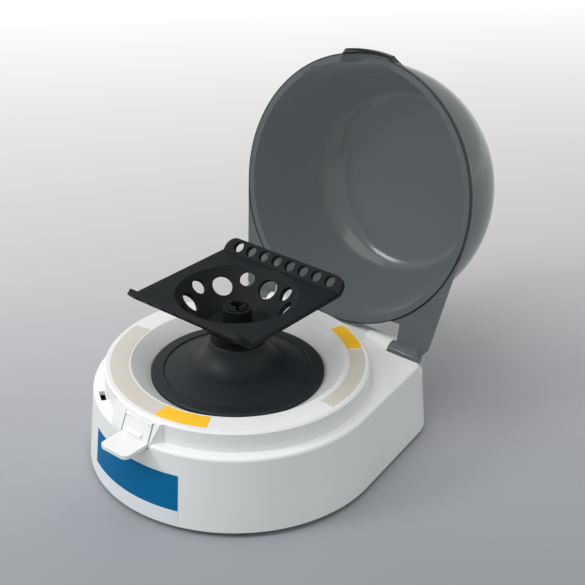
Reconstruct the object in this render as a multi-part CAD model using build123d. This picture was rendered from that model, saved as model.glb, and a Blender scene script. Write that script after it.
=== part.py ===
from build123d import *
import math
import os

# Mini centrifuge with a hinged lid, in millimetres.
# The origin is on the rotor's axis at bench level. +Z is up, -Y is the front with the latch.

# Heights above the bench
foot_height = 3.0
shoulder_z = 44.1
deck_z = 55.2
chamber_floor_z = 47.4

# Housing: a drafted shell, round in front, with a tapering tail
base_r = 80.2
side_draft = 5.5
shell_wall = 2.5
tail_taper = 7.5
tail_corner_r = 28.0
tail_inset = 13.9
shoulder_round = 1.9
lean = math.tan(math.radians(side_draft))
shoulder_r = base_r - (shoulder_z - foot_height) * lean
tail_corner_y = base_r - tail_inset
tail_rear_y = tail_corner_y + tail_corner_r

# Collar, flat ring and the sloping wall of the rotor chamber
shoulder_wide = 5.94
collar_lean = 0.3
collar_round = 1.0
ring_wide = 13.8
slope_wide = 9.4
slope_foot_h = 0.5
chamber_opening_r = 20.0
deck_wall = 2.4
collar_root_r = shoulder_r - shoulder_wide
collar_r = collar_root_r - collar_lean
ring_inner_r = collar_r - ring_wide
chamber_r = ring_inner_r - slope_wide

# Front panel with the latch tongue, which swings on its rounded top edge
latch_x = -0.8
panel_left = 16.4
panel_right = 10.0
panel_blend = 3.5
panel_proud = 1.2
panel_inset = 0.14
tongue_half = 8.9
tongue_top_z = 53.8
tongue_foot_drop = 1.9
tongue_wall = 2.2
slit = 0.9
tongue_gap = 0.3
tab_out = 10.4
tab_half = 9.2
tab_thick = 2.0
tab_corner_r = 3.0
catch_half = 4.8
catch_out = 1.2
catch_rise = 1.9
catch_high = 1.7
catch_lip = 0.5
panel_top_r = collar_r + panel_proud
panel_foot_r = shoulder_r - panel_inset
pivot_r = tongue_wall / 2
pivot_z = tongue_top_z - pivot_r
tongue_foot_z = shoulder_z - tongue_foot_drop
catch_z = shoulder_z + catch_rise

# Interlock slot in the shoulder, and the safety switch under it
interlock_angle = -34.0
interlock_in = 1.8
interlock_long = 9.0
interlock_wide = 3.0
interlock_tab_long = 7.4
interlock_tab_wide = 1.6
interlock_tab_drop = 4.9
plunger_r = 1.4
plunger_gap = 0.4
plunger_high = 5.8
plunger_deep = 1.6
switch_long = 12.8
switch_deep = 5.8
switch_inset = 1.2
switch_high = 9.4
switch_hole = 5.0
terminal_pitch = 4.5
terminal_wide = 0.8
terminal_thick = 0.6
terminal_out = 3.0
interlock_r = collar_root_r + interlock_in
interlock_tab_z = shoulder_z - interlock_tab_drop
plunger_top_z = interlock_tab_z - plunger_gap
switch_top_z = plunger_top_z - plunger_high

# Hinge
hinge_inset = 14.9
hinge_drop = 1.8
pin_r = 1.6
knuckle_r = 5.2
knuckle_in_x = 44.6
knuckle_out_x = 61.2
boss_r = 5.4
boss_in_x = 28.0
boss_gap = 0.4
notch_ahead = 6.4
notch_drop = 7.9
pin_in_x = 34.0
pin_set_in = 0.2
pin_set_back = 0.4
running = 0.05
fixed = 0.02
hinge_y = tail_rear_y - hinge_inset
hinge_z = shoulder_z - hinge_drop
notch_front_y = hinge_y - notch_ahead
notch_floor_z = shoulder_z - notch_drop

# Lid: a smoke cup with a flange, two arms and a front lug
lid_open = 101.4
lid_gap = 0.3
flange_inset = 0.44
flange_thick = 2.2
cup_gap = 1.3
cup_wall = 1.5
cup_flare = 1.2
cup_waist_h = 10.0
cup_h = 60.5
dome_wide = 25.9
dome_rise = 2.2
arm_taper = 9.0
arm_back = 5.4
arm_in_x = 45.2
web_back = 14.4
lug_gap = 0.6
lug_front_gap = 1.0
lug_wall = 1.2
lug_low_h = 3.4
lug_blend_h = 13.6
flange_r = shoulder_r - flange_inset
cup_r = collar_root_r + cup_gap + cup_wall
cup_waist_r = cup_r - cup_flare
dome_r = cup_waist_r - dome_wide
arm_end_y = hinge_y - arm_back
web_y = hinge_y - web_back
lug_r = panel_foot_r + lug_front_gap + lug_wall

# Rotor: a bowl in a square plate between two tilted ledges
plate_half_x = 40.0
plate_z = 94.2
plate_thick = 2.6
ledge_root_y = 33.8
ledge_wide = 8.6
ledge_thick = 3.0
ledge_corner_r = 6.0
strip_hole_r = 3.15
strip_pitch = 9.0
strip_count = 8
bowl_rim_r = 32.1
bowl_floor_r = 15.0
bowl_wall = 2.4
tube_hole_r = 5.6
tube_ring_r = 24.4
small_hole_r = 4.2
small_ring_r = 26.8
tube_count = 6
rotor_drop = 23.0
rotor_seat_h = 1.6
rotor_neck_r = 12.5
rotor_neck_step = 1.5
rotor_boss_r = 7.6
rotor_boss_drop = 8.2
rotor_seat_z = plate_z - rotor_drop
rotor_boss_z = plate_z - rotor_boss_drop

# Motor cover: a cone with a flat outer band and a neck round the hub
cover_gap = 0.7
cover_rim_h = 2.4
cover_rim_round = 1.2
cover_band_wide = 6.7
cover_band_rise = 0.5
cover_groove = 0.6
cover_knee_r = 26.0
cover_knee_h = 7.2
cover_flare_r = 19.3
cover_flare_h = 10.9
cover_neck_r = 15.6
cover_neck_h = 17.1
cover_high = 20.6
cover_neck_lean = 0.4
cover_top_round = 1.4
cover_bore_r = 7.6
cover_wall = 1.8
cover_r = chamber_r - cover_gap
cover_band_r = cover_r - cover_band_wide
cover_top_z = chamber_floor_z + cover_high

# Drive: hub, shaft, motor and its rubber-mounted bracket
shaft_r = 1.5
shaft_end = 3.0
hub_r = 5.0
hub_flange_r = 11.5
hub_flange_thick = 1.2
hub_sleeve_r = 6.4
hub_sleeve_drop = 10.0
hub_rise = 2.0
hub_lip = 0.6
hub_lip_gap = 0.1
hub_slot = 1.4
hub_bore_end = 8.0
finger_wall = 1.5
motor_r = 13.8
motor_low_z = 12.0
motor_round = 1.5
motor_boss_r = 5.0
motor_boss_h = 1.0
motor_cap_h = 2.5
motor_cap_step = 0.8
motor_tail_r = 4.5
motor_tail_h = 1.5
terminal_x = 8.0
terminal_half = 1.4
terminal_half_thick = 0.25
terminal_long = 3.5
bracket_r = 28.5
bracket_thick = 1.6
damper_h = 1.6
damper_r = 3.6
damper_ring_r = 24.5
damper_count = 3
motor_screw_x = 8.5
motor_screw_r = 1.3
motor_screw_head_r = 2.4
motor_screw_head_h = 1.3
hub_top_z = rotor_boss_z + hub_rise
hub_sleeve_z = cover_top_z - hub_sleeve_drop
bracket_top_z = chamber_floor_z - deck_wall - damper_h
motor_top_z = bracket_top_z - bracket_thick

# Base plate, screws and feet
plate_gap = 0.2
base_plate_thick = 2.2
foot_r = 6.0
foot_stem_r = 4.5
foot_round = 0.5
foot_inset = 8.6
foot_front_angle = 44.0
foot_rear_x = 46.0
foot_rear_in = 27.6
foot_pocket = 1.0
pillar_r = 3.6
pillar_in = 12.2
pillar_front_angle = 65.7
pillar_rear_x = 54.0
pillar_rear_in = 40.3
screw_r = 1.4
screw_thread = 0.1
screw_clear = 0.15
screw_long = 11.0
screw_head_r = 2.8
screw_head_h = 1.8
screw_sunk = 0.9
cross_long = 3.4
cross_wide = 0.8
vent_count = 9
vent_pitch = 6.0
vent_wide = 2.0
vent_half = 18.0
foot_ring_r = base_r - foot_inset
foot_rear_y = tail_rear_y - foot_rear_in
pillar_ring_r = base_r - pillar_in
pillar_rear_y = tail_rear_y - pillar_rear_in

# Rear panel with the rocker switch and the power inlet
panel_deep = 4.0
rear_half = 33.0
rear_low_z = 12.0
rear_high_z = 33.0
rocker_x = 17.0
inlet_x = -17.0
bezel_long = 21.0
bezel_high = 15.0
bezel_thick = 1.6
bezel_corner_r = 1.2
rocker_r = 8.2
rocker_high = 9.6
rocker_tilt = 9.0
rocker_gap = 0.35
rocker_pivot_r = 1.2
rocker_pivot_out = 0.8
rocker_pivot_deep = 3.6
rocker_rise = 5.6
rocker_back = 1.5
switch_body_long = 18.8
switch_body_high = 12.6
switch_body_deep = 13.0
inlet_r = 5.4
inlet_flange_r = 6.6
inlet_flange_thick = 1.4
inlet_bore_r = 2.85
inlet_floor = 0.5
inlet_pin_r = 1.0
inlet_deep = 11.0
nut_r = 7.2
nut_thick = 2.2
panel_y = tail_rear_y - panel_deep
control_z = (rear_low_z + rear_high_z) / 2

# Control board with its larger parts
board_long = 56.0
board_wide = 26.0
board_thick = 1.6
board_in = 36.3
board_z = 10.4
post_r = 2.6
post_in = 4.0
tall_cap_r = 4.0
tall_cap_h = 9.0
small_cap_r = 3.2
small_cap_h = 7.0
regulator_long = 10.0
regulator_wide = 4.5
regulator_h = 12.0
header_long = 9.0
header_wide = 5.0
header_h = 6.0
board_y = tail_rear_y - board_in

os.makedirs("parts", exist_ok=True)


def save(shape, name):
    """Writes one sub-part to its own file."""
    export_step(shape, "parts/" + name + ".step")


def ring_profile(points):
    """Revolves a closed outline of radius and height points about the rotor axis."""
    outline = Polyline([(r, 0, z) for r, z in points], close=True)
    return revolve(make_face(outline.edges()), Axis.Z, 360)


def disc(radius, low, high, x=0.0, y=0.0):
    """An upright cylinder between two heights."""
    return Pos(x, y, (low + high) / 2) * Cylinder(radius, high - low)


def block(x0, x1, y0, y1, z0, z1):
    """A box between two corners."""
    centre = Pos((x0 + x1) / 2, (y0 + y1) / 2, (z0 + z1) / 2)
    return centre * Box(x1 - x0, y1 - y0, z1 - z0)


def cross_bar(radius, x0, x1, y, z):
    """A cylinder along X."""
    return Pos((x0 + x1) / 2, y, z) * Rot(0, 90, 0) * Cylinder(radius, x1 - x0)


def both_sides(shape):
    """The shape and its mirror image across the centre plane."""
    return shape + mirror(shape, Plane.YZ)


def tail_centre():
    """Centre of the tail's right-hand corner, seen from above."""
    a = math.radians(tail_taper)
    inner = base_r - tail_corner_r
    along = (tail_corner_y - inner * math.sin(a)) / math.cos(a)
    return inner * math.cos(a) - along * math.sin(a), tail_corner_y


def plan(inset):
    """The housing's outline from above, drawn inwards by the inset."""
    a = math.radians(tail_taper)
    r = base_r - inset
    rc = tail_corner_r - inset
    cx, cy = tail_centre()
    mid = (a + math.pi / 2) / 2
    side_x, side_y = r * math.cos(a), r * math.sin(a)
    corner_x, corner_y = cx + rc * math.cos(a), cy + rc * math.sin(a)
    mid_x, mid_y = cx + rc * math.cos(mid), cy + rc * math.sin(mid)
    edges = [
        ThreePointArc((-side_x, side_y), (0, -r), (side_x, side_y)),
        Line((side_x, side_y), (corner_x, corner_y)),
        ThreePointArc((corner_x, corner_y), (mid_x, mid_y), (cx, cy + rc)),
        Line((cx, cy + rc), (-cx, cy + rc)),
        ThreePointArc((-cx, cy + rc), (-mid_x, mid_y), (-corner_x, corner_y)),
        Line((-corner_x, corner_y), (-side_x, side_y)),
    ]
    return make_face(edges)


def drafted(inset, low, high):
    """A solid of the housing's outline that leans inwards by the side draft."""
    lower = Pos(0, 0, low) * plan(inset + (low - foot_height) * lean)
    upper = Pos(0, 0, high) * plan(inset + (high - foot_height) * lean)
    return loft([lower, upper], ruled=True)


def foot_places():
    """Centres of the five feet: three round the front and two under the tail."""
    a = math.radians(foot_front_angle)
    front_x = foot_ring_r * math.sin(a)
    front_y = -foot_ring_r * math.cos(a)
    return {
        "foot_front_middle": (0.0, -foot_ring_r),
        "foot_front_right": (front_x, front_y),
        "foot_front_left": (-front_x, front_y),
        "foot_rear_right": (foot_rear_x, foot_rear_y),
        "foot_rear_left": (-foot_rear_x, foot_rear_y),
    }


def pillar_places():
    """Centres of the four screw pillars inside the housing."""
    a = math.radians(pillar_front_angle)
    front_x = pillar_ring_r * math.sin(a)
    front_y = -pillar_ring_r * math.cos(a)
    return [
        (front_x, front_y),
        (-front_x, front_y),
        (pillar_rear_x, pillar_rear_y),
        (-pillar_rear_x, pillar_rear_y),
    ]


def damper_places():
    """Centres of the rubber mounts of the motor bracket."""
    turns = [math.radians(90 + 360 / damper_count * i) for i in range(damper_count)]
    return [(damper_ring_r * math.cos(a), damper_ring_r * math.sin(a)) for a in turns]


def at_interlock(shape):
    """Turns a shape drawn at the front to the interlock's place."""
    return Rot(0, 0, interlock_angle) * shape


def panel_face(z):
    """Radius of the front panel's surface at a height."""
    share = (deck_z - z) / (deck_z - shoulder_z)
    return panel_top_r + (panel_foot_r - panel_top_r) * share


def panel_wedge(grow, low, high):
    """The space over the front panel, wider towards the collar, where its sides blend in."""
    left, right = latch_x - panel_left - grow, latch_x + panel_right + grow
    outline = Polyline([
        (left, -base_r - grow), (right, -base_r - grow), (right, -panel_foot_r), (right + panel_blend, -collar_r),
        (right + panel_blend, -dome_r), (left - panel_blend, -dome_r), (left - panel_blend, -collar_r),
        (left, -panel_foot_r),
    ], close=True)
    return extrude(Pos(0, 0, low) * make_face(outline.edges()), high - low)


def tongue_pivot(radius, reach):
    """A bar along the rounded top edge on which the latch tongue swings."""
    return cross_bar(radius, latch_x - reach, latch_x + reach, -panel_face(pivot_z) + pivot_r, pivot_z)


def make_housing():
    """The white moulded top housing: skirt, collar, deck ring, chamber, tail and hinge bosses."""
    top_inside = shoulder_z - shell_wall
    outer = drafted(0, foot_height, shoulder_z)
    outer = fillet(outer.edges().group_by(Axis.Z)[-1], shoulder_round)
    body = outer - drafted(shell_wall, foot_height - 1, top_inside)
    inner_r = collar_r - deck_wall
    body -= disc(inner_r, top_inside - 1, shoulder_z + 1)

    floor_low = chamber_floor_z - deck_wall
    under = deck_z - deck_wall
    collar = ring_profile([
        (inner_r, top_inside), (collar_root_r, top_inside), (collar_root_r, shoulder_z),
        (collar_r, deck_z - collar_round), (collar_r - collar_round, deck_z),
        (ring_inner_r, deck_z), (chamber_r, chamber_floor_z + slope_foot_h), (chamber_r, chamber_floor_z),
        (chamber_opening_r, chamber_floor_z), (chamber_opening_r, floor_low),
        (chamber_r - deck_wall / 2, floor_low), (ring_inner_r + deck_wall / 4, under), (inner_r, under),
    ])
    body += collar

    panel = ring_profile([
        (inner_r, shoulder_z - shoulder_round - 1), (panel_foot_r, shoulder_z - shoulder_round - 1),
        (panel_foot_r, shoulder_z), (panel_face(deck_z - collar_round), deck_z - collar_round),
        (inner_r, deck_z - collar_round),
    ])
    body += panel & panel_wedge(0, 0, deck_z)
    window_half = tongue_half + slit
    window_low = tongue_foot_z - tongue_gap - slit
    body -= block(latch_x - window_half, latch_x + window_half, -2 * base_r, -inner_r + deck_wall, window_low, pivot_z)
    body -= tongue_pivot(pivot_r + running, window_half)

    slot_low = shoulder_z - 2 * shell_wall
    slot = block(-interlock_long / 2, interlock_long / 2, -interlock_r - interlock_wide / 2,
                 -interlock_r + interlock_wide / 2, slot_low, deck_z - collar_round)
    body -= at_interlock(slot)

    bosses = cross_bar(boss_r, boss_in_x, knuckle_in_x - boss_gap, hinge_y, hinge_z)
    skirt_y = hinge_y + boss_r
    skirt_low = notch_floor_z - shell_wall / 2
    bosses += block(boss_in_x, knuckle_in_x - boss_gap, notch_front_y + 0.6, skirt_y, skirt_low, hinge_z)
    notch = block(knuckle_in_x - boss_gap, base_r, notch_front_y, 2 * base_r, notch_floor_z, shoulder_z + 1)
    notch_floor = block(knuckle_in_x - boss_gap - shell_wall, base_r, notch_front_y - shell_wall, 2 * base_r,
                        notch_floor_z - shell_wall, shoulder_z)
    notch_box = notch_floor & drafted(shell_wall / 2, foot_height, shoulder_z)
    body += both_sides(notch_box)
    body -= both_sides(notch)
    body += both_sides(bosses)
    body -= both_sides(cross_bar(pin_r + fixed, pin_in_x, base_r, hinge_y, hinge_z))

    panel_plate = block(-rear_half - shell_wall, rear_half + shell_wall, panel_y - shell_wall,
                        panel_y + shell_wall, rear_low_z - shell_wall, rear_high_z + shell_wall)
    body += panel_plate & drafted(shell_wall / 2, foot_height, shoulder_z)
    body -= block(-rear_half, rear_half, panel_y, 2 * base_r, rear_low_z, rear_high_z)
    hole_long = switch_body_long + 2 * plate_gap
    hole_high = switch_body_high + 2 * plate_gap
    body -= block(rocker_x - hole_long / 2, rocker_x + hole_long / 2, panel_y - 2 * shell_wall, panel_y + 1,
                  control_z - hole_high / 2, control_z + hole_high / 2)
    body -= Pos(inlet_x, panel_y, control_z) * Rot(90, 0, 0) * Cylinder(inlet_r + plate_gap, 6 * shell_wall)

    for x, y in pillar_places():
        pillar = disc(pillar_r, foot_height + base_plate_thick, top_inside + 1, x, y)
        body += pillar
        body -= disc(screw_r - screw_thread, foot_height, foot_height + base_plate_thick + screw_long + 1, x, y)
    for x, y in damper_places():
        body -= disc(screw_r, floor_low - 1, chamber_floor_z - deck_wall / 3, x, y)

    shelf_top = switch_top_z - switch_high
    shelf = block(-switch_long / 2 - 1, switch_long / 2 + 1, -base_r, -interlock_r + switch_inset + switch_deep / 2,
                  shelf_top - shell_wall, shelf_top)
    body += at_interlock(shelf) & drafted(shell_wall / 2, foot_height, shoulder_z)
    return body


def make_base_plate():
    """The bottom cover, let into the housing's rim, with foot pockets, vents and board posts."""
    top = foot_height + base_plate_thick
    plate = drafted(shell_wall + plate_gap, foot_height, top)
    for x, y in foot_places().values():
        plate -= disc(foot_stem_r + plate_gap, 0, foot_height + foot_pocket, x, y)
    for x, y in pillar_places():
        plate -= disc(screw_r + plate_gap, 0, top + 1, x, y)
        plate -= disc(screw_head_r + plate_gap, 0, foot_height + screw_sunk, x, y)
    for i in range(vent_count):
        y = (i - (vent_count - 1) / 2) * vent_pitch
        plate -= block(-vent_half, vent_half, y - vent_wide / 2, y + vent_wide / 2, 0, top + 1)
    for x in (-1, 1):
        for y in (-1, 1):
            post_x, post_y = x * (board_long / 2 - post_in), board_y + y * (board_wide / 2 - post_in)
            plate += disc(post_r, top, board_z, post_x, post_y)
    return plate


def make_foot(x, y):
    """One rubber foot: a low drum with a rounded edge and a stem let into the base plate."""
    foot = fillet(disc(foot_r, 0, foot_height, x, y).edges().group_by(Axis.Z)[0], foot_round)
    return foot + disc(foot_stem_r, foot_height, foot_height + foot_pocket, x, y)


def make_base_screws():
    """Four screws that hold the base plate to the pillars."""
    screws = []
    seat = foot_height + screw_sunk
    head_low = seat - screw_head_h / 2
    for x, y in pillar_places():
        head = disc(screw_head_r, head_low, seat, x, y)
        shank = disc(screw_r - screw_clear, seat, foot_height + base_plate_thick + screw_long, x, y)
        recess = Box(cross_wide, cross_long, screw_head_h / 2) + Box(cross_long, cross_wide, screw_head_h / 2)
        screws.append(head + shank - Pos(x, y, head_low) * recess)
    return Compound(children=screws)


def make_motor_cover():
    """The black cone that covers the motor in the middle of the chamber."""
    z0 = chamber_floor_z
    rim_z = z0 + cover_rim_h
    band_z = rim_z + cover_band_rise
    neck_z = z0 + cover_neck_h
    knee = (cover_knee_r, 0, z0 + cover_knee_h)
    flare = (cover_flare_r, 0, z0 + cover_flare_h)
    neck = (cover_neck_r, 0, neck_z)
    corner = 0.3 * cover_rim_round
    rim_side = (cover_r, 0, rim_z - cover_rim_round)
    rim_mid = (cover_r - corner, 0, rim_z - corner)
    rim_top = (cover_r - cover_rim_round, 0, rim_z)
    groove = (cover_band_r - cover_groove, 0, band_z - cover_groove)
    top_r = cover_neck_r - cover_neck_lean
    turn = 0.3 * cover_top_round
    top_side = (top_r, 0, cover_top_z - cover_top_round)
    top_mid = (top_r - turn, 0, cover_top_z - turn)
    top_flat = (top_r - cover_top_round, 0, cover_top_z)
    under_z = cover_top_z - cover_wall
    inner_neck_r = cover_neck_r - cover_wall
    inner_knee = (cover_knee_r - cover_wall / 2, 0, knee[2] - cover_wall)
    inner_flare = (cover_flare_r - 0.8 * cover_wall, 0, flare[2] - 0.8 * cover_wall)
    inner_neck = (inner_neck_r, 0, neck_z - cover_wall / 2)
    section = [
        Line((cover_r, 0, z0), rim_side),
        ThreePointArc(rim_side, rim_mid, rim_top),
        Line(rim_top, (cover_band_r, 0, band_z)),
        Line((cover_band_r, 0, band_z), groove),
        Line(groove, knee),
        ThreePointArc(knee, flare, neck),
        Line(neck, top_side),
        ThreePointArc(top_side, top_mid, top_flat),
        Line(top_flat, (cover_bore_r, 0, cover_top_z)),
        Line((cover_bore_r, 0, cover_top_z), (cover_bore_r, 0, under_z)),
        Line((cover_bore_r, 0, under_z), (inner_neck_r - 0.8, 0, under_z)),
        Line((inner_neck_r - 0.8, 0, under_z), inner_neck),
        ThreePointArc(inner_neck, inner_flare, inner_knee),
        Line(inner_knee, (cover_band_r, 0, rim_z - cover_wall)),
        Line((cover_band_r, 0, rim_z - cover_wall), (cover_band_r, 0, z0)),
        Line((cover_band_r, 0, z0), (cover_r, 0, z0)),
    ]
    return revolve(make_face(section), Axis.Z, 360)


def cup_half(shrink):
    """Half section of one face of the lid's cup, from the mouth to the top of the dome."""
    low = shoulder_z + lid_gap
    waist_z = low + cup_waist_h
    rise = cup_h - cup_waist_h - shrink
    reach = cup_waist_r - dome_r - shrink
    crown_z = waist_z + rise
    mouth = (cup_r - shrink, 0, low)
    waist = (cup_waist_r - shrink, 0, waist_z)
    crown = (dome_r, 0, crown_z)
    sphere_r = (dome_r ** 2 + dome_rise ** 2) / (2 * dome_rise)
    mid = (dome_r / 2, 0, crown_z + dome_rise - sphere_r + math.sqrt(sphere_r ** 2 - dome_r ** 2 / 4))
    top = (0, 0, crown_z + dome_rise)
    bend = EllipticalCenterArc((dome_r, waist_z), reach, rise, start_angle=0, arc_size=90)
    return [Line(mouth, waist), Plane.XZ * bend, ThreePointArc(crown, mid, top)], mouth, top


def make_cup():
    """The lid's cup: a drafted wall, an elliptical shoulder and a shallow dome."""
    outer, outer_mouth, outer_top = cup_half(0)
    inner, inner_mouth, inner_top = cup_half(cup_wall)
    section = outer + inner + [Line(outer_mouth, inner_mouth), Line(outer_top, inner_top)]
    return revolve(make_face(section), Axis.Z, 360)


def lug_profile(step):
    """Section of the front lug's outer face, which leans in like the front panel; step moves it inwards."""
    low = shoulder_z + lid_gap
    return [
        (lug_r - step, low), (lug_r - step, low + lug_low_h),
        (cup_waist_r - step, low + lug_blend_h), (dome_r, low + lug_blend_h),
    ]


def make_lid_closed():
    """The smoke lid in its closed place: cup, flange, arms, knuckles, front lug and interlock tab."""
    low = shoulder_z + lid_gap
    high = low + flange_thick
    a = math.radians(arm_taper)
    side_x, side_y = flange_r * math.cos(a), flange_r * math.sin(a)
    arm_x = side_x - (arm_end_y - side_y) * math.tan(a)
    inner_r = cup_r - cup_wall
    inner_waist_r = cup_waist_r - cup_wall
    waist_z = low + cup_waist_h
    rise = lug_blend_h + 1
    bore = ring_profile([
        (0, low - 1), (inner_r, low - 1), (inner_r, low), (inner_waist_r, waist_z), (inner_waist_r, low + rise),
        (0, low + rise),
    ])

    arm_outline = Polyline([
        (0, 0), (side_x, side_y), (arm_x, arm_end_y), (knuckle_out_x, hinge_y),
        (arm_in_x, hinge_y), (arm_in_x, web_y), (0, web_y),
    ], close=True)
    arm = extrude(Pos(0, 0, low) * make_face(arm_outline.edges()), flange_thick)
    rim = disc(flange_r, low, high) + both_sides(arm)

    rim += ring_profile([(dome_r, low)] + lug_profile(0)) & panel_wedge(lug_gap + lug_wall, low, low + lug_blend_h)
    rim -= bore
    lid = make_cup() + rim
    lid += both_sides(cross_bar(knuckle_r, knuckle_in_x, knuckle_out_x, hinge_y, hinge_z))
    pocket_top = deck_z - collar_round + lug_gap
    pocket = ring_profile([(dome_r, low), (dome_r, low - 1), (lug_r - lug_wall, low - 1)] + lug_profile(lug_wall))
    lid -= pocket & panel_wedge(lug_gap, low - 1, pocket_top)

    half = interlock_tab_long / 2
    tab = block(-half, half, -interlock_r - interlock_tab_wide / 2, -interlock_r + interlock_tab_wide / 2,
                interlock_tab_z, high)
    lid += at_interlock(tab)
    lid -= both_sides(cross_bar(pin_r + running, knuckle_in_x - 1, knuckle_out_x + 1, hinge_y, hinge_z))
    return lid


def swing_open(shape):
    """Turns the closed lid about the hinge to its open stop."""
    turn = Pos(0, hinge_y, hinge_z) * Rot(-lid_open, 0, 0) * Pos(0, -hinge_y, -hinge_z)
    return turn * shape


def make_pin():
    """The right-hand hinge pin, fixed in the housing's boss."""
    pin = cross_bar(pin_r, pin_in_x + pin_set_in, knuckle_out_x - pin_set_back, hinge_y, hinge_z)
    return chamfer(pin.edges().sort_by(Axis.X)[-1], 0.3)


def make_latch():
    """The sprung tongue with its press tab and catch, which swings on its rounded top edge."""
    z0, z1 = tongue_foot_z, pivot_z - tongue_gap
    shell = ring_profile([
        (panel_face(z1) - tongue_wall, z1), (panel_face(z1), z1), (panel_foot_r, shoulder_z),
        (panel_foot_r, z0), (panel_foot_r - tongue_wall, z0), (panel_foot_r - tongue_wall, shoulder_z),
    ])
    tongue = shell & block(latch_x - tongue_half, latch_x + tongue_half, -2 * base_r, -collar_r / 2, z0, z1)
    tongue += tongue_pivot(pivot_r, tongue_half)
    tab = block(latch_x - tab_half, latch_x + tab_half, -base_r - tab_out, -panel_foot_r + tongue_wall,
                shoulder_z - tab_thick, shoulder_z)
    tab = fillet(tab.edges().filter_by(Axis.Z).group_by(Axis.Y)[0], tab_corner_r)
    face_y = -panel_face(catch_z)
    wedge = Polyline([
        (0, face_y + 1, catch_z), (0, face_y - catch_out, catch_z),
        (0, face_y - catch_out, catch_z + catch_lip), (0, face_y + 1, catch_z + catch_high),
    ], close=True)
    catch = Pos(latch_x, 0, 0) * extrude(make_face(wedge.edges()), catch_half, both=True)
    return tongue + tab + catch


def make_rotor():
    """The strip rotor: a bowl with tube holes in a plate between two tilted ledges of strip holes."""
    tilt = math.sqrt(0.5)
    plate_low = plate_z - plate_thick
    floor_z = plate_z - (bowl_rim_r - bowl_floor_r)
    low_z = floor_z - bowl_wall
    step = bowl_wall * math.sqrt(2)
    top_y = ledge_root_y + ledge_wide * tilt
    top_z = plate_z + ledge_wide * tilt
    edge = ledge_thick * tilt
    run = (top_z - edge) - plate_low
    section = Polyline([
        (0, 0, plate_low), (0, top_y + edge - run, plate_low), (0, top_y + edge, top_z - edge),
        (0, top_y, top_z), (0, ledge_root_y, plate_z), (0, 0, plate_z),
    ], close=True)
    half = extrude(make_face(section.edges()), plate_half_x, both=True)
    ends = [e for e in half.edges()
            if abs(e.center().Y - (top_y + edge / 2)) < 0.5 and abs(abs(e.center().X) - plate_half_x) < 0.1]
    half = fillet(ends, ledge_corner_r)
    rotor = half + mirror(half, Plane.XZ)
    rotor += ring_profile([
        (0, low_z), (bowl_floor_r + step - bowl_wall, low_z), (bowl_rim_r + step - plate_thick, plate_low),
        (bowl_rim_r + step - plate_thick, plate_z), (0, plate_z),
    ])
    rotor -= ring_profile([(0, floor_z), (bowl_floor_r, floor_z), (bowl_rim_r + 1, plate_z + 1), (0, plate_z + 1)])
    rotor += disc(rotor_boss_r, low_z, rotor_boss_z)
    rotor += disc(rotor_neck_r - rotor_neck_step, rotor_seat_z, low_z)
    rotor += disc(rotor_neck_r, rotor_seat_z, rotor_seat_z + rotor_seat_h)
    rotor -= disc(hub_r + fixed, 0, plate_z)

    centre = ledge_wide / 2 * tilt
    for row in (-1, 1):
        for i in range(strip_count):
            x = (i - (strip_count - 1) / 2) * strip_pitch
            place = Pos(x, row * (ledge_root_y + centre), plate_z + centre)
            rotor -= place * Rot(45 * row, 0, 0) * Cylinder(strip_hole_r, 4 * ledge_thick)
    for i in range(tube_count):
        for start, ring, radius in ((30, tube_ring_r, tube_hole_r), (0, small_ring_r, small_hole_r)):
            angle = start + i * 360 / tube_count
            wall_z = plate_z - (bowl_rim_r - ring)
            rotor -= Rot(0, 0, angle) * Pos(ring, 0, wall_z) * Rot(0, -45, 0) * Cylinder(radius, 4 * bowl_wall)
    return rotor


def make_hub():
    """The drive hub on the motor shaft, with four snap fingers that hold the rotor."""
    flange_low = rotor_seat_z - hub_flange_thick
    hub = disc(hub_sleeve_r, hub_sleeve_z, flange_low)
    hub += disc(hub_flange_r, flange_low, rotor_seat_z)
    hub += disc(hub_r, rotor_seat_z, hub_top_z)
    lip_z = rotor_boss_z + hub_lip_gap
    hub += ring_profile([
        (0, lip_z), (hub_r + hub_lip, lip_z), (hub_r + hub_lip, lip_z + hub_lip), (hub_r - hub_lip, hub_top_z),
        (0, hub_top_z),
    ])
    bore_end = hub_top_z - hub_bore_end
    hub -= disc(shaft_r + fixed, 0, bore_end)
    hub -= disc(hub_r - finger_wall, bore_end, hub_top_z + 1)
    for angle in (45, 135):
        cut = block(-2 * hub_r, 2 * hub_r, -hub_slot / 2, hub_slot / 2, bore_end - 2, hub_top_z + 1)
        hub -= Rot(0, 0, angle) * cut
    return hub


def make_shaft():
    """The motor shaft, with a rounded lower end."""
    shaft = disc(shaft_r, motor_low_z - shaft_end, hub_top_z - hub_bore_end - 1)
    return chamfer(shaft.edges(), shaft_r / 5)


def make_motor():
    """The motor can with its front boss and the bore that the shaft runs in."""
    can = disc(motor_r, motor_low_z, motor_top_z)
    can = fillet(can.edges().group_by(Axis.Z)[-1], motor_round)
    can += disc(motor_boss_r, motor_top_z - motor_boss_h, bracket_top_z + motor_boss_h)
    return can - disc(shaft_r + running, 0, deck_z)


def make_motor_cap():
    """The plastic rear cap of the motor, with two terminals."""
    low = motor_low_z - motor_cap_h
    cap = disc(motor_r - motor_cap_step, low, motor_low_z)
    cap += disc(motor_tail_r, low - motor_tail_h, low)
    cap -= disc(shaft_r + running, 0, deck_z)
    for x in (-terminal_x, terminal_x):
        cap += block(x - terminal_half, x + terminal_half, -terminal_half_thick, terminal_half_thick,
                     low - terminal_long, low)
    return cap


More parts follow.
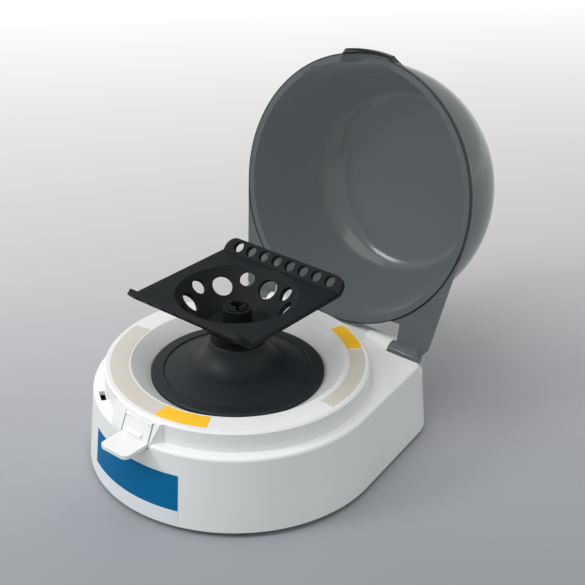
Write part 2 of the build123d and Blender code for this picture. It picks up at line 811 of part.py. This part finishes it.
def make_bracket():
    """The steel motor bracket, a drilled round plate under the chamber floor."""
    plate = disc(bracket_r, motor_top_z, motor_top_z + bracket_thick)
    plate -= disc(motor_boss_r + plate_gap, 0, deck_z)
    for x, y in damper_places():
        plate -= disc(screw_r + plate_gap, 0, deck_z, x, y)
    for x in (-motor_screw_x, motor_screw_x):
        plate -= disc(motor_screw_r + screw_thread, 0, deck_z, x, 0)
    return plate


def make_dampers():
    """Three rubber mounts between the bracket and the chamber floor."""
    low = bracket_top_z
    high = low + damper_h
    rings = [disc(damper_r, low, high, x, y) - disc(screw_r, low - 1, high + 1, x, y) for x, y in damper_places()]
    return Compound(children=rings)


def make_bracket_screws():
    """Three screws up through the bracket and the dampers into the chamber floor."""
    screws = []
    for x, y in damper_places():
        head = disc(screw_head_r, motor_top_z - screw_head_h, motor_top_z, x, y)
        shank = disc(screw_r - screw_thread, motor_top_z, chamber_floor_z - deck_wall / 2, x, y)
        screws.append(head + shank)
    return Compound(children=screws)


def make_motor_screws():
    """Two screws that hold the motor to its bracket."""
    top = bracket_top_z
    screws = []
    for x in (-motor_screw_x, motor_screw_x):
        head = disc(motor_screw_head_r, top, top + motor_screw_head_h, x, 0)
        screws.append(head + disc(motor_screw_r, motor_top_z, top, x, 0))
    return Compound(children=screws)


def make_interlock_switch():
    """The safety switch on its shelf, with the guide hole for its plunger."""
    low = switch_top_z - switch_high
    y = -interlock_r + switch_inset
    body = block(-switch_long / 2, switch_long / 2, y - switch_deep / 2, y + switch_deep / 2, low, switch_top_z)
    body -= disc(plunger_r + running, switch_top_z - switch_hole, switch_top_z + 1, 0, -interlock_r)
    back = y + switch_deep / 2
    for x in (-terminal_pitch, 0, terminal_pitch):
        body += block(x - terminal_wide / 2, x + terminal_wide / 2, back - 1, back + terminal_out, low + 1,
                      low + 1 + terminal_thick)
    return at_interlock(body)


def make_plunger():
    """The switch plunger that the lid's tab presses."""
    low = switch_top_z - plunger_deep
    plunger = disc(plunger_r, low, plunger_top_z, 0, -interlock_r)
    plunger = fillet(plunger.edges().group_by(Axis.Z)[-1], 0.4 * plunger_r)
    return at_interlock(plunger)


def rocker_axis(shape):
    """Moves a shape drawn about the Z axis to the rocker's pivot."""
    return Pos(rocker_x, panel_y - rocker_pivot_deep, control_z) * shape


def make_power_switch():
    """The rocker switch body and bezel, let into the rear panel."""
    half_long, half_high = bezel_long / 2, bezel_high / 2
    bezel = block(rocker_x - half_long, rocker_x + half_long, panel_y, panel_y + bezel_thick,
                  control_z - half_high, control_z + half_high)
    bezel = fillet(bezel.edges().filter_by(Axis.Y), bezel_corner_r)
    body = block(rocker_x - switch_body_long / 2, rocker_x + switch_body_long / 2, panel_y - switch_body_deep,
                 panel_y, control_z - switch_body_high / 2, control_z + switch_body_high / 2)
    well = rocker_axis(Cylinder(rocker_r + rocker_gap, rocker_high + 2 * rocker_gap))
    sockets = rocker_axis(Cylinder(rocker_pivot_r + running, rocker_high + 2 * rocker_pivot_out + rocker_gap))
    return bezel + body - well - sockets


def make_rocker():
    """The rocker, a segment of a cylinder under two faces, lying in its off position."""
    drum = Cylinder(rocker_r, rocker_high)
    rocker = drum - Pos(0, -rocker_r - rocker_back, 0) * Box(4 * rocker_r, 2 * rocker_r, 2 * rocker_high)
    for side in (-1, 1):
        lifted = Pos(0, rocker_rise, 0) * Rot(0, 0, side * rocker_tilt) * Pos(0, rocker_r, 0)
        keep = Pos(side * -2 * rocker_r, 0, 0) * Box(4 * rocker_r, 8 * rocker_r, 4 * rocker_high)
        rocker -= (lifted * Box(6 * rocker_r, 2 * rocker_r, 2 * rocker_high)) & keep
    rocker += Cylinder(rocker_pivot_r, rocker_high + 2 * rocker_pivot_out)
    return rocker_axis(Rot(0, 0, rocker_tilt) * rocker)


def make_inlet():
    """The round power inlet with its centre pin."""
    back = panel_y - inlet_deep
    turn = Rot(-90, 0, 0)
    body = Pos(inlet_x, (back + panel_y) / 2, control_z) * turn * Cylinder(inlet_r, inlet_deep)
    front = panel_y + inlet_flange_thick
    body += Pos(inlet_x, (panel_y + front) / 2, control_z) * turn * Cylinder(inlet_flange_r, inlet_flange_thick)
    floor = back + inlet_floor
    body -= Pos(inlet_x, (floor + front) / 2, control_z) * turn * Cylinder(inlet_bore_r, front - floor)
    body += Pos(inlet_x, (back + panel_y) / 2, control_z) * turn * Cylinder(inlet_pin_r, inlet_deep)
    return body


def make_inlet_nut():
    """The ring nut behind the panel that clamps the inlet."""
    y = panel_y - shell_wall - nut_thick / 2
    place = Pos(inlet_x, y, control_z) * Rot(90, 0, 0)
    outer = place * extrude(RegularPolygon(nut_r, 6), nut_thick / 2, both=True)
    return outer - place * Cylinder(inlet_r + fixed, 2 * nut_thick)


def make_board():
    """The control board on its posts."""
    top = board_z + board_thick
    return block(-board_long / 2, board_long / 2, board_y - board_wide / 2, board_y + board_wide / 2, board_z, top)


def make_board_parts():
    """Capacitors, a regulator and two plug headers on the control board."""
    top = board_z + board_thick
    front_y, rear_y = board_y - board_wide / 2 + 2 * post_in, board_y + board_wide / 2 - 2 * post_in
    header_x = -board_long / 2 + 2 * post_in
    tall_x = board_long / 3
    parts = [disc(tall_cap_r, top, top + tall_cap_h, tall_x, rear_y)]
    parts.append(disc(small_cap_r, top, top + small_cap_h, tall_x - 3 * small_cap_r, rear_y))
    parts.append(block(-regulator_long / 2, regulator_long / 2, front_y - regulator_wide, front_y, top,
                       top + regulator_h))
    for y in (front_y - header_wide, rear_y - header_wide / 2):
        parts.append(block(header_x, header_x + header_long, y, y + header_wide, top, top + header_h))
    return Compound(children=parts)


save(make_housing(), "housing_top")
save(make_base_plate(), "base_plate")
for name, (foot_x, foot_y) in foot_places().items():
    save(make_foot(foot_x, foot_y), name)
save(make_base_screws(), "base_screws")
save(make_motor_cover(), "motor_cover")
save(swing_open(make_lid_closed()), "lid")
save(make_pin(), "hinge_pin_right")
save(mirror(make_pin(), Plane.YZ), "hinge_pin_left")
save(make_latch(), "latch_tongue")
save(make_rotor(), "strip_rotor")
save(make_hub(), "drive_hub")
save(make_shaft(), "motor_shaft")
save(make_motor(), "motor_can")
save(make_motor_cap(), "motor_rear_cap")
save(make_bracket(), "motor_bracket")
save(make_dampers(), "motor_dampers")
save(make_bracket_screws(), "bracket_screws")
save(make_motor_screws(), "motor_screws")
save(make_interlock_switch(), "interlock_switch")
save(make_plunger(), "interlock_plunger")
save(make_power_switch(), "power_switch")
save(make_rocker(), "power_rocker")
save(make_inlet(), "power_inlet")
save(make_inlet_nut(), "inlet_nut")
save(make_board(), "control_board")
save(make_board_parts(), "board_parts")
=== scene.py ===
# Mini centrifuge on a pale bench: the model with its finishes, labels, lights and camera.
# Lengths are in metres in the model's own frame: +Z up, -Y the front, the rotor's axis at x = y = 0.

import math

import bpy
from mathutils import Matrix, Vector


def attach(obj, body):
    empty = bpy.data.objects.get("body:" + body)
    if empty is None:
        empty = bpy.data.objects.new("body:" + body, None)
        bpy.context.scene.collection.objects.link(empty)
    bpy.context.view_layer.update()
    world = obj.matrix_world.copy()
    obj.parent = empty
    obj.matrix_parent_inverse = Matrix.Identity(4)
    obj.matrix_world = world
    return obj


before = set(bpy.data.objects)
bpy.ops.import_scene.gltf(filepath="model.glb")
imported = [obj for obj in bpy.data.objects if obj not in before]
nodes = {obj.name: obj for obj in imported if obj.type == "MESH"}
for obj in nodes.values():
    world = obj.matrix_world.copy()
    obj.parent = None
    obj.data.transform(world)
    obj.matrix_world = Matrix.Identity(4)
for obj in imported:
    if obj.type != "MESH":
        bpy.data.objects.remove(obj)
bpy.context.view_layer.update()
bpy.ops.object.select_all(action="DESELECT")


# Housing: the top moulding, the latch tongue that swings in it and the vented base plate let into its rim.
# All three are moulded in one white ABS. The mould is spark-eroded, which gives a satin face with an even
# grain. The real grain is 0.1 to 0.2 mm, and here it is drawn about three times coarser, so that it shows.
def colour(hex_code):
    """An sRGB hex colour as linear red, green, blue and alpha."""
    channels = [int(hex_code[i:i + 2], 16) / 255 for i in (1, 3, 5)]
    return tuple(c / 12.92 if c <= 0.04045 else ((c + 0.055) / 1.055) ** 2.4 for c in channels) + (1.0,)


def set_node(node, settings=None, links=None):
    """Sets a shader node's sockets or properties, and links other sockets into it."""
    for name, value in (settings or {}).items():
        if name in node.inputs:
            node.inputs[name].default_value = value
        else:
            setattr(node, name, value)
    for name, source in (links or {}).items():
        node.id_data.links.new(source, node.inputs[name])
    return node


def add_node(material, kind, settings=None, links=None):
    """Adds one shader node with its settings and links."""
    return set_node(material.node_tree.nodes.new(kind), settings, links)


def new_finish(name):
    """A material, its surface shader, and the place on the piece, which its patterns read."""
    material = bpy.data.materials.new(name)
    material.use_nodes = True
    place = add_node(material, "ShaderNodeTexCoord").outputs["Object"]
    return material, material.node_tree.nodes["Principled BSDF"], place


plastic_ior = 1.5
plastic_flow_mm = 71.4
grain_strength = 0.25


def moulded_plastic(name, shade, light_shade, roughness, grain_mm, relief_mm, gloss=0.5):
    """A moulded plastic: two close shades where the melt flowed, and the mould's grain as a fine bump."""
    material, surface, place = new_finish(name)
    flow = add_node(material, "ShaderNodeTexNoise", {"Scale": 1000 / plastic_flow_mm, "Detail": 2.0},
                    {"Vector": place})
    shades = add_node(material, "ShaderNodeValToRGB", links={"Fac": flow.outputs["Fac"]})
    for stop, position, hex_code in zip(shades.color_ramp.elements, (0.35, 0.65), (shade, light_shade)):
        stop.position = position
        stop.color = colour(hex_code)
    grain = add_node(material, "ShaderNodeTexNoise", {"Scale": 1000 / grain_mm, "Detail": 1.0},
                     {"Vector": place})
    bump = add_node(material, "ShaderNodeBump", {"Strength": grain_strength, "Distance": relief_mm / 1000},
                    {"Height": grain.outputs["Fac"]})
    set_node(surface, {"Roughness": roughness, "IOR": plastic_ior, "Specular IOR Level": gloss},
             {"Base Color": shades.outputs["Color"], "Normal": bump.outputs["Normal"]})
    return material


def dress(material, *names):
    """Gives CAD nodes a finish."""
    for name in names:
        nodes[name].data.materials.clear()
        nodes[name].data.materials.append(material)


white_abs = moulded_plastic("white_abs_moulded", "#e5e7e6", "#e9ebea", 0.42, 0.5, 0.02)
dress(white_abs, "housing_top", "latch_tongue", "base_plate")

# Feet and motor mounts: black moulded rubber, dull and slightly dusty.
# The feet are low drums with stems in the base plate, and the mounts sit between the motor's bracket and
# the chamber's floor.
rubber = moulded_plastic("black_moulded_rubber", "#121212", "#191919", 0.8, 0.8, 0.03)
dress(rubber, "foot_front_middle", "foot_front_right", "foot_front_left", "foot_rear_right", "foot_rear_left",
      "motor_dampers")

# Steel pieces: hinge pins, shaft, motor can, bracket, screws and the inlet's nut, bright and zinc-plated.
# The plating has spangles a little lighter and darker. Drawing leaves lines of about 0.1 mm, and here they
# are drawn ten times coarser, so that they break up the reflections.
steel_spangle_mm = 4.0
steel_line_mm = 1.11
steel_relief = 0.00001
steel, steel_surface, steel_place = new_finish("zinc_plated_steel")
steel_spangles = add_node(steel, "ShaderNodeTexNoise", {"Scale": 1000 / steel_spangle_mm, "Detail": 1.0},
                          {"Vector": steel_place})
steel_shades = add_node(steel, "ShaderNodeValToRGB", links={"Fac": steel_spangles.outputs["Fac"]})
for stop, hex_code in zip(steel_shades.color_ramp.elements, ("#b0b3b7", "#c2c5c8")):
    stop.color = colour(hex_code)
steel_lines = add_node(steel, "ShaderNodeTexNoise", {"Scale": 1000 / steel_line_mm, "Detail": 2.0},
                       {"Vector": steel_place})
steel_bump = add_node(steel, "ShaderNodeBump", {"Strength": 0.2, "Distance": steel_relief},
                      {"Height": steel_lines.outputs["Fac"]})
set_node(steel_surface, {"Metallic": 1.0, "Roughness": 0.32},
         {"Base Color": steel_shades.outputs["Color"], "Normal": steel_bump.outputs["Normal"]})
dress(steel, "base_screws", "hinge_pin_right", "hinge_pin_left", "motor_shaft", "motor_can", "motor_bracket",
      "bracket_screws", "motor_screws", "inlet_nut")

# Control board: glass fibre sheet under a green solder mask, on posts of the base plate.
# The mask is smooth, with a faint weave of the glass in it.
board = moulded_plastic("green_solder_mask", "#0f4a26", "#13532c", 0.35, 0.7, 0.01)
dress(board, "control_board")

# Small black mouldings: the rocker switch, inlet, motor's rear cap, safety switch and the board's parts.
# They are moulded in polyamide, a dull and even black with a fine grain.
black_pa = moulded_plastic("black_polyamide_moulded", "#141516", "#1a1b1c", 0.5, 0.5, 0.02)
dress(black_pa, "power_switch", "power_rocker", "power_inlet", "motor_rear_cap", "interlock_switch",
      "board_parts")

# Plunger of the safety switch, in the switch's guide hole under the slot.
# It is moulded in red acetal, which slides well and stays smooth.
red_pom = moulded_plastic("red_acetal_moulded", "#8c1d18", "#96211b", 0.35, 0.5, 0.01)
dress(red_pom, "interlock_plunger")

# Motor cover: a moulded cone over the motor in the middle of the chamber.
# It is black ABS with a satin face, which shows soft highlights round its neck.
black_abs = moulded_plastic("black_abs_satin", "#1f2428", "#24292d", 0.5, 0.6, 0.015, 0.3)
dress(black_abs, "motor_cover")

# Strip rotor, and the drive hub on the motor's shaft, whose snap fingers hold the rotor.
# Both are moulded in glass-filled nylon, matt black, with a faint grain from the filler.
black_nylon = moulded_plastic("black_glass_filled_nylon", "#14181b", "#181c1f", 0.62, 0.4, 0.02, 0.16)
dress(black_nylon, "strip_rotor", "drive_hub")

# Lid: one moulding in smoke polycarbonate, free of grain and highly polished, on two steel pins at the rear.
# A painted glow in the tint stands in for light scattered through the plastic, and keeps the cup's inside as
# light as its outside; the polish gives streaks.
# The rim and the front lug get painted shade, nearly black: the rim for being seen edge-on through much more
# of the tint, and the lug against the light on its top.
hinge = Vector((0, 0.0794, 0.0423))
lid_opening = math.radians(101.4)
smoke_flow_mm = 111.1
smoke_painted_edge_shade = "#101314"
smoke_painted_glow = 0.95
smoke, smoke_surface, smoke_place = new_finish("smoke_polycarbonate_polished")
smoke_flow = add_node(smoke, "ShaderNodeTexNoise", {"Scale": 1000 / smoke_flow_mm, "Detail": 1.0},
                      {"Vector": smoke_place})
smoke_tint = add_node(smoke, "ShaderNodeValToRGB", links={"Fac": smoke_flow.outputs["Fac"]})
for stop, hex_code in zip(smoke_tint.color_ramp.elements, ("#3d4243", "#424748")):
    stop.color = colour(hex_code)

# The pattern is laid out on the closed lid, whose own axis stands over the rotor's: the open lid's places are
# swung back about the hinge, and distances are then measured out from that axis and forwards along Y.
lid_closed = add_node(smoke, "ShaderNodeMapping",
                      {"Rotation": (lid_opening, 0, 0),
                       "Location": hinge - Matrix.Rotation(lid_opening, 3, "X") @ hinge},
                      {"Vector": smoke_place}).outputs["Vector"]
lid_across = add_node(smoke, "ShaderNodeMapping", {"Scale": (1, 1, 0)}, {"Vector": lid_closed})
lid_radius = add_node(smoke, "ShaderNodeVectorMath", {"operation": "LENGTH"},
                      {0: lid_across.outputs["Vector"]}).outputs["Value"]
lid_forward = add_node(smoke, "ShaderNodeSeparateXYZ", links={"Vector": lid_closed}).outputs["Y"]

# Each fade rises from 0 to 1 between two distances: over the rim from inside, over it from outside, into
# the front lug, and into the middle of the dome. The first three mark the painted shade on the rim and lug.
smoke_fades = []
for distance, start, stop in ((lid_radius, 0.07488, 0.07544), (lid_radius, 0.07648, 0.07608),
                              (lid_forward, -0.0748, -0.0758), (lid_radius, 0.012, 0.008)):
    fade = add_node(smoke, "ShaderNodeMapRange", {"From Min": start, "From Max": stop}, {"Value": distance})
    smoke_fades.append(fade.outputs["Result"])
rim_inside, rim_outside, lug_painted_shade_mask, dome_middle = smoke_fades
rim_painted_shade_mask = add_node(smoke, "ShaderNodeMath", {"operation": "MINIMUM"}, {0: rim_inside, 1: rim_outside})
edge_painted_shade_mask = add_node(smoke, "ShaderNodeMath", {"operation": "MAXIMUM"},
                     {0: rim_painted_shade_mask.outputs["Value"], 1: lug_painted_shade_mask})
# Painted shade: the rim and the front lug are mixed towards a near-black shade.
smoke_tint_and_painted_shade = add_node(smoke, "ShaderNodeMixRGB", {"Color2": colour(smoke_painted_edge_shade)},
                       {"Fac": edge_painted_shade_mask.outputs["Value"], "Color1": smoke_tint.outputs["Color"]})

# The middle of the dome is so flat that its own facets shade it better than blended normals do.
dome_facets = add_node(smoke, "ShaderNodeNewGeometry")
dome_normal = add_node(smoke, "ShaderNodeMixRGB",
                       links={"Fac": dome_middle, "Color1": dome_facets.outputs["Normal"],
                              "Color2": dome_facets.outputs["True Normal"]})
# The emission is the painted glow that stands in for light scattered in the tint.
set_node(smoke_surface,
         {"Roughness": 0.16, "IOR": 1.58, "Specular IOR Level": 0.3, "Alpha": 0.92,
          "Emission Strength": smoke_painted_glow},
         {"Base Color": smoke_tint_and_painted_shade.outputs["Color"], "Emission Color": smoke_tint_and_painted_shade.outputs["Color"],
          "Normal": dome_normal.outputs["Color"]})
dress(smoke, "lid")


# Ring labels: plain polyester stickers on the flat ring round the chamber, each a smooth film on thin glue.
# Beige runs round both sides of the ring, with a yellow end at the front and one by the hinge.
film_thickness = 0.00012
glue_line = 0.00002
ring_corners = 720


def film_band(name, film, start, stop, first, last):
    """A sticker between two angles in degrees from the front, from one radius and height to another."""
    (first_r, first_z), (last_r, last_z) = first, last
    spread = last_r / first_r
    bpy.ops.object.select_all(action="DESELECT")
    bpy.ops.mesh.primitive_circle_add(vertices=ring_corners, radius=first_r, location=(0, 0, first_z))
    sticker = bpy.context.object
    sticker.name = name
    bpy.ops.object.transform_apply(location=True)
    bpy.ops.object.mode_set(mode="EDIT")
    bpy.ops.mesh.select_all(action="DESELECT")
    bpy.ops.object.mode_set(mode="OBJECT")
    for corner in sticker.data.vertices:
        angle = math.degrees(math.atan2(corner.co.x, -corner.co.y))
        corner.select = not start < angle < stop
    bpy.ops.object.mode_set(mode="EDIT")
    bpy.ops.mesh.delete(type="VERT")
    bpy.ops.mesh.select_all(action="SELECT")
    bpy.ops.mesh.extrude_edges_indiv()
    bpy.ops.transform.resize(value=(spread, spread, 1), center_override=(0, 0, first_z))
    bpy.ops.transform.translate(value=(0, 0, last_z - first_z))
    bpy.ops.object.mode_set(mode="OBJECT")
    thickness = sticker.modifiers.new("film", "SOLIDIFY")
    thickness.thickness = film_thickness
    thickness.offset = 0
    bpy.ops.object.modifier_apply(modifier="film")
    bpy.ops.object.mode_set(mode="EDIT")
    bpy.ops.mesh.select_all(action="SELECT")
    bpy.ops.mesh.normals_make_consistent(inside=False)
    bpy.ops.object.mode_set(mode="OBJECT")
    sticker.data.materials.append(film)
    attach(sticker, "base")


deck_height = 0.0552
ring_film_height = deck_height + glue_line + film_thickness / 2
beige_film = moulded_plastic("beige_polyester_film", "#cdc8bd", "#d3cec4", 0.45, 0.6, 0.004)
yellow_film = moulded_plastic("yellow_polyester_film", "#f8c02a", "#fcc632", 0.45, 0.6, 0.004, 0.2)
for name, film, start, stop, inner, outer in (
        ("label_left_beige", beige_film, -81.7, 3.8, 0.0572, 0.0669),
        ("label_left_yellow", yellow_film, 3.9, 28.6, 0.0572, 0.0669),
        ("label_right_beige", beige_film, 85.6, 138.9, 0.0592, 0.0674),
        ("label_right_yellow", yellow_film, 139.0, 162.3, 0.0592, 0.0674)):
    film_band(name, film, start, stop, (inner, ring_film_height), (outer, ring_film_height))

# Front label: one plain film wrapped on the drafted wall below the latch, blue over a pale strip.
# It leans and bends as the wall does, and stands proud of it by the film's own thickness.
wall_foot_radius = 0.0802
wall_foot_height = 0.003
wall_lean = math.tan(math.radians(5.5))
wall_label_span = (-26.5, 19.6)
label_foot, label_join, label_top = [
    (wall_foot_radius - (height - wall_foot_height) * wall_lean + film_thickness / 2, height)
    for height in (0.0042, 0.0118, 0.0317)]
blue_film = moulded_plastic("blue_polyester_film", "#006498", "#01699b", 0.5, 0.6, 0.004, 0.1)
pale_film = moulded_plastic("pale_polyester_film", "#dfe6ea", "#e4eaee", 0.4, 0.6, 0.004)
film_band("label_front_blue", blue_film, *wall_label_span, label_join, label_top)
film_band("label_front_pale", pale_film, *wall_label_span, label_foot, label_join)

# Bench: a pale laminate top, dull and smooth, that runs out of view.
# Its colour is painted light: it lightens from the front right to the rear left as the light falls off, and
# its far part has a painted glow, as a studio sweep shows where lamps behind the object light it.
bench_size = 12.0
bench_heading = math.radians(39.0)
bench_painted_glow = 0.3
# Each run is a distance from the rotor's axis along that heading, and the bench's colour there, with the
# painted light in it.
bench_painted_light_runs = ((-0.114, "#92969b"), (0.04237, "#a5a6ab"), (0.18267, "#bbbabd"), (0.57037, "#dddcdd"),
              (0.957, "#f8f8f8"))
bench_near, bench_far = bench_painted_light_runs[0][0], bench_painted_light_runs[-1][0]
bpy.ops.mesh.primitive_plane_add(size=bench_size, location=(0, 0, 0))
bench = bpy.context.object
bench.name = "bench"
laminate, laminate_surface, laminate_place = new_finish("pale_bench_laminate")
laminate_turn = add_node(laminate, "ShaderNodeMapping", {"Rotation": (0, 0, -bench_heading)},
                         {"Vector": laminate_place})
laminate_axes = add_node(laminate, "ShaderNodeSeparateXYZ", links={"Vector": laminate_turn.outputs["Vector"]})
laminate_run = add_node(laminate, "ShaderNodeMapRange", {"From Min": bench_near, "From Max": bench_far},
                        {"Value": laminate_axes.outputs["Y"]})
laminate_painted_light = add_node(laminate, "ShaderNodeValToRGB", links={"Fac": laminate_run.outputs["Result"]})
laminate_painted_light.color_ramp.elements[0].color = colour(bench_painted_light_runs[0][1])
laminate_painted_light.color_ramp.elements[1].color = colour(bench_painted_light_runs[-1][1])
for distance, hex_code in bench_painted_light_runs[1:-1]:
    position = (distance - bench_near) / (bench_far - bench_near)
    laminate_painted_light.color_ramp.elements.new(position).color = colour(hex_code)
# Painted glow: the far part of the bench is made to emit light.
laminate_painted_glow = add_node(laminate, "ShaderNodeMapRange", {"To Max": bench_painted_glow},
                         {"Value": laminate_run.outputs["Result"]})
set_node(laminate_surface, {"Roughness": 0.7},
         {"Base Color": laminate_painted_light.outputs["Color"], "Emission Color": laminate_painted_light.outputs["Color"],
          "Emission Strength": laminate_painted_glow.outputs["Result"]})
bench.data.materials.append(laminate)


# Lights: a large soft lamp overhead, a wide weak one on the left and a small one at the front left.
# Each is a white area lamp aimed at the machine, and an even pale sky fills the shadows.
def soft_lamp(name, place, aim, width, power):
    """A square white area lamp that points at a place."""
    light = bpy.data.lights.new(name, "AREA")
    light.size = width
    light.energy = power
    lamp = bpy.data.objects.new(name, light)
    bpy.context.scene.collection.objects.link(lamp)
    lamp.location = place
    lamp.rotation_mode = "QUATERNION"
    lamp.rotation_quaternion = (Vector(aim) - Vector(place)).to_track_quat("-Z", "Y")


machine_middle = (0, 0, 0.06)
hinge_side = (0, 0.1, 0.06)
soft_lamp("lamp_above", (-0.05, -0.35, 1.20), machine_middle, 0.9, 5.1)
soft_lamp("lamp_left", (-1.00, -0.25, 0.45), machine_middle, 1.5, 2.1)
soft_lamp("lamp_front", (-0.44, -0.66, 0.62), hinge_side, 0.25, 2.8)
world = bpy.data.worlds.new("studio")
world.use_nodes = True
set_node(world.node_tree.nodes["Background"], {"Color": colour("#f7f8f7"), "Strength": 0.68})
bpy.context.scene.world = world

# Camera: right of the front and above, where the photograph was taken, and rolled by under a degree.
# Its lens and place come from a fit of the model's edges to the photograph's.
azimuth = math.radians(39.05)
elevation = math.radians(27.84)
roll = math.radians(0.73)
eye = (0.37283, -0.41427, 0.38880)
reach = math.cos(elevation)
back = Vector((math.sin(azimuth) * reach, -math.cos(azimuth) * reach, math.sin(elevation)))
level = Vector((math.cos(azimuth), math.sin(azimuth), 0))
rise = back.cross(level)
right = math.cos(roll) * level + math.sin(roll) * rise
up = -math.sin(roll) * level + math.cos(roll) * rise
view = bpy.data.cameras.new("photo_view")
view.sensor_width = 36.0
view.lens = 75.37
view.clip_start = 0.01
view.clip_end = 20.0
camera = bpy.data.objects.new("photo_view", view)
bpy.context.scene.collection.objects.link(camera)
camera.matrix_world = Matrix.Translation(eye) @ Matrix((right, up, back)).transposed().to_4x4()
bpy.context.scene.camera = camera
bpy.context.scene.view_settings.view_transform = "Standard"
